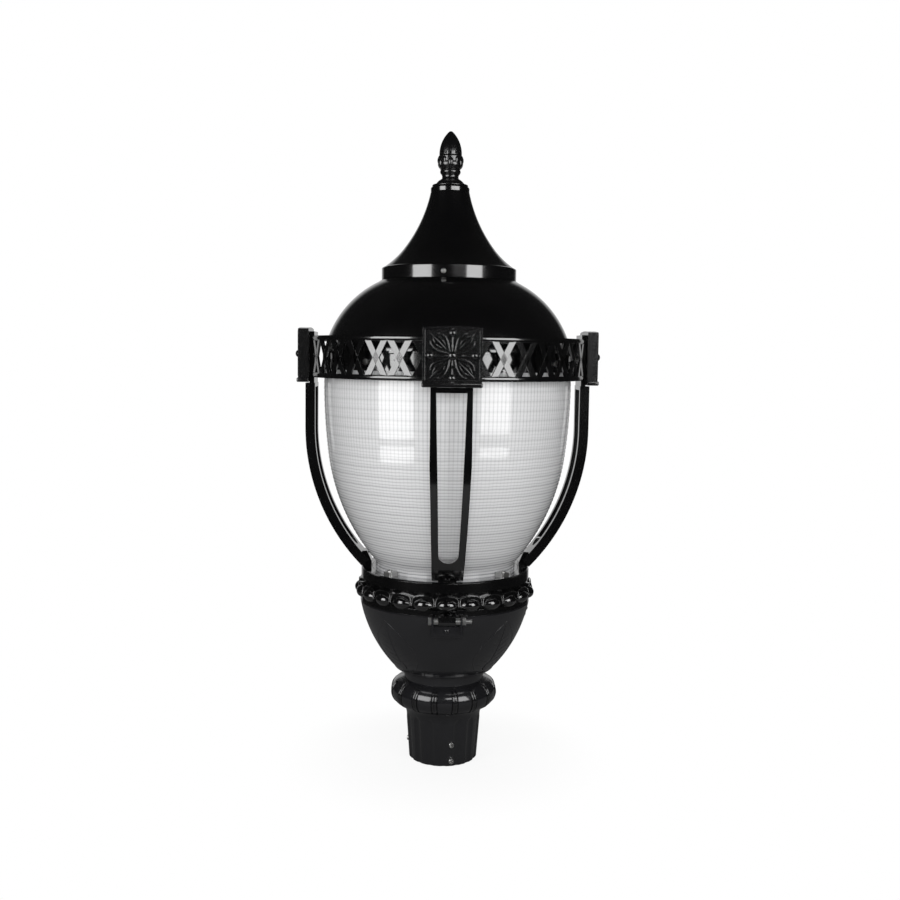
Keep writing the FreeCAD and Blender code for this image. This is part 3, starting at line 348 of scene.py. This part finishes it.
def thread(name, points):
    """A line of edges through points (r, z) beside the axis, in edit mode, selected."""
    piece = start(name, bpy.ops.mesh.primitive_plane_add, size=MM)
    bpy.ops.mesh.merge(type="CENTER")
    places = [Vector((r, 0, z)) * MM for r, z in points]
    bpy.ops.transform.translate(value=places[0])
    for here, there in zip(places, places[1:]):
        bpy.ops.mesh.extrude_vertices_move(TRANSFORM_OT_translate={"value": there - here})
    bpy.ops.mesh.select_all(action="SELECT")
    return piece


def turn_round(steps, angle=TAU):
    """Spin what is selected round the lantern's axis."""
    bpy.ops.mesh.spin(steps=steps, angle=angle, center=ORIGIN, axis=(0, 0, 1))


def join(name, pieces):
    """Make one object of several."""
    bpy.ops.object.select_all(action="DESELECT")
    for piece in pieces:
        piece.select_set(True)
    bpy.context.view_layer.objects.active = pieces[0]
    bpy.ops.object.join()
    pieces[0].name = pieces[0].data.name = name
    return pieces[0]


def copy_turned(piece, name, angle):
    """A copy with its own mesh, turned round the lantern's axis from the front towards +X."""
    bpy.ops.object.select_all(action="DESELECT")
    piece.select_set(True)
    bpy.context.view_layer.objects.active = piece
    bpy.ops.object.duplicate()
    made = bpy.context.object
    made.name = made.data.name = name
    made.rotation_euler = (0, 0, math.radians(angle))
    apply_place()
    return made


def copies_turned(piece, angles):
    """A copy at each angle in place of the piece itself."""
    made = [copy_turned(piece, piece.name, angle) for angle in angles]
    bpy.data.objects.remove(piece)
    return made


def settle(piece, body, slot, *nodes, finish=None):
    """Give a finished piece its finish, its body and the nodes it stands for."""
    piece.data.materials.clear()
    piece.data.materials.append(finish or finishes[slot])
    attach(piece, body)
    for node in nodes:
        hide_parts(node)


def sweep(name, path, radii, sides=8):
    """A round bar along a path of points (x, y, z) that bends in the XZ plane."""
    places = [Vector(point) * MM for point in path]
    heading = [(there - here).xz for here, there in zip(places, places[1:])]
    turns = [math.atan2(way.y, way.x) for way in heading]
    turns = [turns[0]] + [(one + two) / 2 for one, two in zip(turns, turns[1:])] + [turns[-1]]
    piece = start(
        name, bpy.ops.mesh.primitive_circle_add, vertices=sides, radius=radii[0] * MM,
        fill_type="NGON", location=places[0], rotation=(0, math.pi / 2 - turns[0], 0),
    )
    for k in range(1, len(places)):
        step = {"value": places[k] - places[k - 1]}
        bpy.ops.mesh.extrude_region_move(TRANSFORM_OT_translate=step)
        turn = turns[k] - turns[k - 1]
        bpy.ops.transform.rotate(value=turn, orient_axis="Y", center_override=places[k])
        share = radii[k] / radii[k - 1]
        bpy.ops.transform.resize(value=(share, share, share), center_override=places[k])
    close(piece, 60.0)
    apply_place()
    return piece


# ---- globe ----------------------------------------------------------------------
GLASS_LOWER = (-127.15, 506.8, 307.4)    # each arc's centre (r, z) and radius, in millimetres
GLASS_UPPER = (-671.85, 575.3, 856.4)
GLASS_JOIN = 468.4             # the height where the arcs meet
GLASS_WALL = 5.0
GLASS_RIM = (179.2, 184.2, 612.0)    # inner and outer radius of the upper rim, and its top
GLASS_NECK = 588.0             # where the prisms end and the plain rim begins
FOOT_RADII = (101.0, 106.0, 110.4)    # the foot's inner and outer wall, and its flange
FOOT_LEVELS = (290.0, 297.0, 302.0)    # the foot's base, its flange's top, and the wall's start
PRISMS_START = 307.0
PRISMS = ((345.0, 4.6, 1.3), (490.0, 6.0, 0.75), (GLASS_NECK, 9.0, 0.5))    # up to, pitch, depth
FLUTE_DEPTH = 1.0032           # how far every second inner edge stands out, as a share
FLUTES_LOW, FLUTES_HIGH = 312.0, 600.0


def glass_radius(z, inside=0.0):
    centre_r, centre_z, radius = GLASS_LOWER if z < GLASS_JOIN else GLASS_UPPER
    return centre_r + math.sqrt((radius - inside) ** 2 - (z - centre_z) ** 2)


def prism_rings():
    """The outer face from the foot up: rings of prisms, coarse and deep below."""
    _, wall, flange = FOOT_RADII
    _, flange_top, wall_start = FOOT_LEVELS
    points = [(flange, flange_top), (wall, flange_top + 0.1), (wall, wall_start)]
    z = PRISMS_START
    while z < GLASS_NECK - 2:
        pitch, depth = next(ring[1:] for ring in PRISMS if z < ring[0])
        top = min(z + pitch, GLASS_NECK)
        points += [(glass_radius(z) - 0.1, z), (glass_radius(top) - depth, top)]
        z = top
    return points + [(glass_radius(GLASS_NECK), GLASS_NECK + 0.2), GLASS_RIM[1:]]


def inner_face():
    """The inner face from the rim down to the flange."""
    bore, _, flange = FOOT_RADII
    base, _, wall_start = FOOT_LEVELS
    heights = [GLASS_NECK - 13.7 * k for k in range(21)]
    points = [(GLASS_RIM[0], GLASS_RIM[2])] + [(glass_radius(z, GLASS_WALL), z) for z in heights]
    return points + [(bore, wall_start), (bore, base), (flange, base)]


def bridge_rim(piece, on_rim):
    """Join the outer face to the inner one over the edges that lie on a rim."""
    bpy.ops.mesh.select_all(action="DESELECT")
    bpy.ops.object.mode_set(mode="OBJECT")
    points = piece.data.vertices
    for edge in piece.data.edges:
        edge.select = all(on_rim(points[index].co) for index in edge.vertices)
    bpy.ops.object.mode_set(mode="EDIT")
    bpy.ops.mesh.bridge_edge_loops()


def refractor_glass():
    """The globe: rings of prisms outside, upright reeds inside."""
    outer = thread("refractor_glass", prism_rings())
    turn_round(240)
    bpy.ops.object.mode_set(mode="OBJECT")
    inner = thread("refractor_inside", inner_face())
    turn_round(2 * GLASS_FLUTES)
    low, high, step = FLUTES_LOW * MM, FLUTES_HIGH * MM, TAU / (2 * GLASS_FLUTES)
    choose(inner, lambda co: low < co.z < high and round(math.atan2(co.y, co.x) / step) % 2)
    bpy.ops.transform.resize(value=(FLUTE_DEPTH, FLUTE_DEPTH, 1.0), center_override=ORIGIN)
    bpy.ops.object.mode_set(mode="OBJECT")
    piece = join("refractor_glass", [outer, inner])
    bpy.ops.object.mode_set(mode="EDIT")
    bridge_rim(piece, lambda co: abs(co.z - GLASS_RIM[2] * MM) < 1e-5)
    bridge_rim(piece, lambda co: abs(co.xy.length - FOOT_RADII[2] * MM) < 1e-5)
    close(piece, 42.0)
    settle(piece, "globe_head", "clear_refractor", "refractor_globe")


# ---- row of eggs ----------------------------------------------------------------
EGGS = 24
ARCH_HALF = 16.3               # half the width of the arch over an egg, in millimetres
ARCH_CROWN = 277.4             # height of its crown
ARCH_R = 130.3
ARCH_WIRE = 0.75


def egg_rims():
    """The raised rim that arches over each egg, and comes down between it and the next."""
    path = []
    for k in range(-9, 10):
        across = math.sin(math.radians(10 * k))
        drop = 1 - math.cos(math.radians(10 * k))
        x, z = ARCH_HALF * across, ARCH_CROWN - 3.4 * across ** 2 - 10.5 * drop ** 4
        flare = ARCH_R + 3.2 * drop ** 3
        path.append((x, -math.sqrt(flare ** 2 - x ** 2), z))
    rim = sweep("egg_rim", path, [ARCH_WIRE] * len(path))
    rims = copies_turned(rim, [360 / EGGS * k for k in range(EGGS)])
    settle(join("egg_rims", rims), "globe_head", "black_coat")


# ---- lattice band ---------------------------------------------------------------
BAND_LOW, BAND_HIGH = 582, 641.8    # heights and radii in millimetres
BAND_R, BAND_DEPTH = 204, 7
RIM_HEIGHT = 7
RIM_BOW = ((0.0, 1.2), (0.25, 0.3), (0.5, 0.0), (0.75, 0.3), (1.0, 1.2))    # share up, sunk
SHEET_OUT, SHEET_THICK = BAND_R - 1.6, 2.6
BAR_WIDTH, BAR_LEAN = 9.6, 12.7    # along the band
BAR_SUNK = 0.5                 # how far a bar's end goes into a rim
END_PLATE_REACH = 11.0
BAND_PITCH = 10.0              # degrees from one crossing to the next
CROSSINGS = 6
BAND_HALF = 37.03              # degrees from the middle of a quarter to its end


def slanted_bar(name, low, low_span, high, high_span):
    """A flat bar in front of the band, with its own left and right end at each height."""
    middle = (0, -(SHEET_OUT - SHEET_THICK / 2), (low + high) / 2)
    bar = block(name, middle, (1, SHEET_THICK, high - low))
    near = 0.51 * MM
    for level, span in ((low, low_span), (high, high_span)):
        for side, across in zip((-1, 1), span):
            def corner(co):
                return abs(co.z - level * MM) < 1e-6 and 0 < co.x * side < near
            nudge(bar, corner, x=across - side / 2)
    return close(bar, 20.0)


def crossed_bars(low, high):
    """The crossings of a quarter, as two bars each."""
    parts, half = [], BAR_WIDTH / 2
    middle = (CROSSINGS - 1) / 2
    for lean in (-BAR_LEAN, BAR_LEAN):
        low_span, high_span = (-lean - half, -lean + half), (lean - half, lean + half)
        bar = slanted_bar("lattice_bar", low, low_span, high, high_span)
        parts += copies_turned(bar, [BAND_PITCH * (k - middle) for k in range(CROSSINGS)])
    return parts


def end_plates(low, high):
    """The plates beyond the last crossings: each follows the next bar's slant on one side."""
    parts, half = [], BAR_WIDTH / 2
    waist = (low + high) / 2
    place = BAND_PITCH * (CROSSINGS + 1) / 2
    for level in (low, high):
        (lower, lower_reach), (upper, upper_reach) = sorted(((level, BAR_LEAN + half), (waist, half)))
        for side in (-1, 1):
            spans = [sorted((side * END_PLATE_REACH, -side * reach)) for reach in (lower_reach, upper_reach)]
            plate = slanted_bar("end_plate", lower, spans[0], upper, spans[1])
            parts += copies_turned(plate, [side * place])
    return parts


def band_rims():
    """The two hoops, with their outer faces bowed."""
    parts, inner = [], BAND_R - BAND_DEPTH
    for z in (BAND_LOW, BAND_HIGH - RIM_HEIGHT):
        bow = [(BAND_R - sunk, z + RIM_HEIGHT * share) for share, sunk in RIM_BOW]
        rim = thread("band_rim", [(inner, z)] + bow + [(inner, z + RIM_HEIGHT)])
        bpy.ops.mesh.edge_face_add()
        turn_round(36, math.radians(2 * BAND_HALF))
        close(rim, 30.0)
        parts += copies_turned(rim, [BAND_HALF - 90])
    return parts


def lattice():
    """Two hoops, with crossed bars between them and a plate at each end, in four quarters."""
    low, high = BAND_LOW + RIM_HEIGHT - BAR_SUNK, BAND_HIGH - RIM_HEIGHT + BAR_SUNK
    quarter = join("lattice_quarter", crossed_bars(low, high) + end_plates(low, high) + band_rims())
    for name, angle in (("front_right", 45), ("back_right", 135), ("back_left", 225), ("front_left", 315)):
        made = copy_turned(quarter, "crossed_bars_" + name, angle)
        settle(made, "globe_head", "black_coat", "lattice_band_" + name)
    bpy.data.objects.remove(quarter)


# ---- petals of the fitter -------------------------------------------------------
COLLAR_R, COLLAR_Z, COLLAR_ROUND = 59.9, 104.0, 20.6    # the collar's section is a round
PETALS = 16
RIDGE_SIDE = 1.45              # degrees from the gap between two petals to a ridge
RIDGE_LOW, RIDGE_HIGH = -58, 60    # degrees up the collar's round
RIDGE_SUNK = 0.4
RIDGE_RADII = (0.4, 0.9, 1.2, 1.35, 1.4, 1.4, 1.4, 1.35, 1.3, 1.2, 1.0, 0.8, 0.4)    # from the top


def petal_collar():
    """Two thin ridges side by side between each petal of the collar and the next."""
    path, steps = [], len(RIDGE_RADII) - 1
    for k in range(steps + 1):
        a = math.radians(RIDGE_HIGH + (RIDGE_LOW - RIDGE_HIGH) * k / steps)
        out = COLLAR_ROUND - RIDGE_SUNK
        path.append((COLLAR_R + out * math.cos(a), 0, COLLAR_Z + out * math.sin(a)))
    ridge = sweep("petal_ridge", path, RIDGE_RADII, 12)
    gaps = [360 / PETALS * (k + 0.5) for k in range(PETALS)]
    ridges = copies_turned(ridge, [gap + side for gap in gaps for side in (-RIDGE_SIDE, RIDGE_SIDE)])
    settle(join("petal_ridges", ridges), "housing", "black_coat")


# ---- leaves on the bowl ---------------------------------------------------------
BOWL_ARC = (-71.8, 285.0, 203.9)    # centre (r, z) and radius of the bowl's side
LEAF_FOOT, LEAF_STEP, LEAF_STEPS = 150, 9.2, 10    # the lowest place of a leaf, and the ones above
LEAF_SPREAD = 21               # degrees from a leaf's middle to its widest edge
SPINE_DRIFT = 0.01             # degrees from one place on the spine to the next
VEIN_DROP, VEIN_RISE = 4, 9    # how far a vein starts below its place and ends above it
EDGE_RADII = [0.7, 1.0] + [1.15] * 6 + [1.0, 0.7]
VEIN_RADII = [0.9, 0.9, 0.8, 0.5]
SPINE_RADII = [1.3] * 8 + [1.0, 0.6]


def on_bowl(turn, z, sunk):
    """A place on the bowl, in millimetres, at an angle from the front."""
    centre_r, centre_z, radius = BOWL_ARC
    r = centre_r + math.sqrt(radius ** 2 - (z - centre_z) ** 2) - sunk
    a = math.radians(turn)
    return (r * math.sin(a), -r * math.cos(a), z)


def leaf_half(side, heights):
    """One edge of a leaf, and the veins that run up to it from the spine."""
    bulge = [math.sin(math.pi * ((k + 1.2) / 10.2) ** 0.8) for k in range(LEAF_STEPS)]
    turns = [side * LEAF_SPREAD * share for share in bulge]
    edge = [on_bowl(turn, z, 0.5) for turn, z in zip(turns, heights)]
    parts = [sweep("leaf_edge", edge, EDGE_RADII)]
    for k in range(1, 7):
        base, rise = heights[k] - VEIN_DROP, VEIN_DROP + VEIN_RISE
        shares = (0.08, 0.35, 0.62, 0.88)
        vein = [on_bowl(turns[k + 1] * share, base + rise * share, 0.6) for share in shares]
        parts.append(sweep("vein", vein, VEIN_RADII, 6))
    return parts


def bowl_leaves():
    """Four broad leaves in faint relief, one on each diagonal of the bowl."""
    heights = [LEAF_FOOT + LEAF_STEP * k for k in range(LEAF_STEPS)]
    spine = [on_bowl(SPINE_DRIFT * k, z, 0.4) for k, z in enumerate(heights)]
    parts = leaf_half(-1, heights) + leaf_half(1, heights) + [sweep("spine", spine, SPINE_RADII)]
    leaves = copies_turned(join("leaf", parts), [45 + 90 * k for k in range(4)])
    settle(join("bowl_leaves", leaves), "housing", "black_coat", finish=satin)


# ---- medallions -----------------------------------------------------------------
MEDAL_Z = 615.8                # middle of the carving, in millimetres
MEDAL_FIELD = -219.2           # the sunk field behind the carving
PLATE_MIDDLE, PLATE_SIZE = (0, -211.8, 616.2), (78.4, 15.0, 72.4)
PLATE_CUTS = 11
PLATE_ARCH = 2.2               # how far the middle of the top edge rises above its ends
PLATE_STEPS = ((0.6, 0.6), (2.4, 0.0), (0.5, 0.7), (0.6, -2.3))    # width, rise, from the edge in
LEDGE_MIDDLE, LEDGE_SIZE = (0, -213.1, 577.6), (80, 17.6, 6.4)


def medal_plate():
    """The block, with its top edge arched, its rim chamfered and its field sunk."""
    plate = block("medallion_plate", PLATE_MIDDLE, PLATE_SIZE, PLATE_CUTS)
    half = (PLATE_CUTS + 1) // 2
    top = (PLATE_MIDDLE[2] + PLATE_SIZE[2] / 2 - 1) * MM
    for k in range(1 - half, half):
        x = PLATE_SIZE[0] / 2 * k / half * MM
        nudge(plate, lambda co: co.z > top and abs(co.x - x) < MM, z=PLATE_ARCH * (1 - (k / half) ** 2))
    face = (PLATE_MIDDLE[1] - PLATE_SIZE[1] / 2 + 0.1) * MM
    choose(plate, lambda co: co.y < face)
    for width, rise in PLATE_STEPS:
        bpy.ops.mesh.inset(thickness=width * MM, depth=rise * MM)
    close(plate, 25.0)
    ledge = block("medallion_ledge", LEDGE_MIDDLE, LEDGE_SIZE)
    bpy.ops.mesh.bevel(offset=1.8 * MM, segments=4, affect="EDGES")
    return [plate, close(ledge, 40.0)]


def at_medal(across, up, out=0.0):
    """A place on the front medallion, in millimetres from its middle."""
    return (across, MEDAL_FIELD - out, MEDAL_Z + up)


def along(way, u, v, out=0.0):
    """A place on the medallion: u out from the middle at the angle way, and v to its side."""
    a = math.radians(way)
    return at_medal(u * math.cos(a) - v * math.sin(a), u * math.sin(a) + v * math.cos(a), out)


# Places (u, v) on a leaf, and the bar's radius there.
LEAF_EDGE = (
    (5.6, 1.2, 1.1), (8, 2.6, 1.3), (11.5, 5.0, 1.45), (15, 7.3, 1.55), (19, 9.2, 1.6),
    (23.5, 10.3, 1.5), (28, 10.2, 1.3), (31.4, 9.0, 1.05), (33.2, 7.6, 0.8),
)
LEAF_RIB = ((12, 0, 0.5), (18, 0, 1.2), (25, 0, 1.75), (32, 0, 1.6), (37, 0, 1.1), (41, 0, 0.4))
LEAF_FOLD = ((16, 2.6, 0.6), (21, 4.4, 1.3), (26, 4.9, 1.5), (31, 3.6, 1.2), (35, 1.6, 0.5))
STEM = ((5, 0, 1.0), (9, 0, 1.2), (13.5, 0, 1.9), (15, 0, 1.1), (19, 0, 1.3), (24.5, 0, 1.5))


def carved_bar(name, way, line, out, side=1, sides=8):
    """A raised bar along a line of the carving."""
    path = [along(way, u, side * v, out) for u, v, radius in line]
    return sweep(name, path, [radius for u, v, radius in line], sides)


def pearl(name, place, radius, flat=1.0):
    """A small carved bud, flattened towards the field."""
    middle = Vector(place) * MM
    bud = start(
        name, bpy.ops.mesh.primitive_uv_sphere_add, segments=16, ring_count=10,
        radius=radius * MM, location=middle,
    )
    bpy.ops.transform.resize(value=(1, flat, 1), center_override=middle)
    close(bud, 50.0)
    apply_place()
    return bud


def medal_leaf(way):
    """A leaf as two raised edges that open like a lens, with a rib and a hollow between."""
    made = [carved_bar("leaf_rib", way, LEAF_RIB, 0.9)]
    for side in (-1, 1):
        made.append(carved_bar("leaf_edge", way, LEAF_EDGE, 0.5, side))
        u, v, _ = LEAF_EDGE[-1]
        made.append(pearl("leaf_tip", along(way, u, side * v, 0.7), 1.55))
        made.append(carved_bar("leaf_fold", way, LEAF_FOLD, 0.0, side, 6))
    return made


def medal_stem(way):
    """A stem on an axis: a bar, and a bud with a bead at its end."""
    bar = carved_bar("stem", way, STEM, 0.6)
    bud = pearl("bud", along(way, 29.2, 0, 1.0), 5.2, 0.8)
    bead = pearl("bead", along(way, 34.4, 0, 0.8), 2.0)
    return [bar, bud, bead]


def medallions():
    """A boss with four leaves on the diagonals and four stems on the axes."""
    parts = medal_plate()
    for way in (0, 90, 180, 270):
        parts += medal_leaf(way + 45) + medal_stem(way)
    parts.append(pearl("boss", at_medal(0, 0, 1.8), 6.0, 0.75))
    front = join("carved_medallion_front", parts)
    for side, angle in ARMS.items():
        made = copy_turned(front, "carved_medallion_" + side, angle) if angle else front
        settle(made, "globe_head", "black_casting", "medallion_" + side)


refractor_glass()
egg_rims()
lattice()
petal_collar()
bowl_leaves()
medallions()


# ---- studio ---------------------------------------------------------------------
CAMERA_RANGE = 1.610           # from the lantern's axis
CAMERA_HEIGHT = 0.618
CAMERA_TURN = 1.55             # degrees round the lantern, towards its left
CAMERA_DROP = 5.13             # degrees below the level
CAMERA_YAW = 0.18
CAMERA_ROLL = 0.79
PHOTO_FOCUS = 1069.0           # the photograph's focal length, in its own pixels
PHOTO_SIDE = 900.0
SENSOR = 36.0                  # millimetres
LAMP_RANGE = 1.6
FLOOR_R = 0.95
FLOOR_FADE = (0.004, 0.07)     # squares of the distances where the paper starts and ends to fade


def make_camera():
    data = bpy.data.cameras.new("camera")
    data.sensor_width = SENSOR
    data.lens = SENSOR * PHOTO_FOCUS / PHOTO_SIDE
    camera = bpy.data.objects.new("camera", data)
    bpy.context.scene.collection.objects.link(camera)
    turn, drop = math.radians(CAMERA_TURN), math.radians(CAMERA_DROP)
    place = Vector((-CAMERA_RANGE * math.sin(turn), -CAMERA_RANGE * math.cos(turn), CAMERA_HEIGHT))
    yaw = turn + math.radians(CAMERA_YAW)
    look = Vector((math.sin(yaw) * math.cos(drop), math.cos(yaw) * math.cos(drop), -math.sin(drop)))
    roll = Matrix.Rotation(math.radians(-CAMERA_ROLL), 4, look)
    level = look.to_track_quat("-Z", "Y").to_matrix().to_4x4()
    camera.matrix_world = Matrix.Translation(place) @ roll @ level
    bpy.context.scene.camera = camera


def softbox(name, angle, low, high, width, radiance, mirrored=True):
    """An upright area lamp at an angle from the front, facing the lantern."""
    height = high - low
    data = bpy.data.lights.new(name, "AREA")
    data.shape, data.size, data.size_y = "RECTANGLE", width, height
    data.energy = radiance * math.pi * width * height
    lamp = bpy.data.objects.new(name, data)
    lamp.visible_glossy = mirrored
    bpy.context.scene.collection.objects.link(lamp)
    a = math.radians(angle)
    away = Vector((math.sin(a), -math.cos(a), 0))
    place = away * LAMP_RANGE + Vector((0, 0, (low + high) / 2))
    facing = (-away).to_track_quat("-Z", "Y").to_matrix().to_4x4()
    lamp.matrix_world = Matrix.Translation(place) @ facing


def make_world():
    """White to the camera. To other rays, a room that is pale behind the lantern and dark
    in front: mirrored, seen through the glass, and as light on the surfaces."""
    world = bpy.data.worlds.new("studio")
    world.use_nodes = True
    bpy.context.scene.world = world
    net = Net(world.node_tree)
    seen = net.node("LightPath", out="Is Camera Ray")
    rays = seen.socket.node.outputs
    through = Value(net, rays["Is Transmission Ray"])
    mirrored = Value(net, rays["Is Glossy Ray"]) * (1 - through)
    lit = 1 - (seen + mirrored + through).over(0.5)
    _, back, _ = net.parts(net.node("TexCoord", out="Generated"))
    strength = (
        seen + mirrored * (back.smooth(0.84, 0.98) * 0.50 + 0.010)
        + through * (back.smooth(0.60, 0.90) * 0.97 + 0.03)
        + lit * (back.smooth(0.0, 0.6) * 0.6 + 0.25)
    )
    shader = net.node("Background", None, {"Color": (1, 1, 1, 1), "Strength": strength})
    net.node("OutputWorld", None, {"Surface": shader})


def floor_finish(net):
    """Pale paper to the camera, shaded near the lantern, that fades into the white
    background. Other rays meet a darker paper, so that little light comes from below."""
    x, y, _ = net.parts(net.place())
    far = (x * x + y * y).smooth(*FLOOR_FADE)
    seen = net.node("LightPath", out="Is Camera Ray")
    tone = net.blend(seen, (0.12, 0.12, 0.12), (0.95, 0.95, 0.95))
    paper = net.node("BsdfDiffuse", None, {"Color": tone})
    white = net.node("Emission", None, {"Color": (1, 1, 1, 1), "Strength": 1.0})
    return net.node("MixShader", None, {0: (far * 0.14 + 0.86) * seen, 1: paper, 2: white})


def make_floor():
    bpy.ops.object.select_all(action="DESELECT")
    bpy.ops.mesh.primitive_circle_add(vertices=96, radius=FLOOR_R, fill_type="NGON", location=ORIGIN)
    floor = bpy.context.object
    floor.name = "floor"
    floor.data.materials.append(finish_named("pale_paper", floor_finish))


make_camera()
softbox("softbox_left", -46.5, 0.28, 1.42, 0.95, 3.6)
softbox("softbox_right", 40.7, 0.32, 1.42, 0.78, 3.6)
softbox("softbox_upper", 16.0, 0.94, 1.42, 0.60, 3.4)
softbox("front_fill", -1.5, 0.20, 1.20, 0.90, 4.6, mirrored=False)
make_world()
make_floor()
bpy.context.scene.view_settings.view_transform = "Standard"
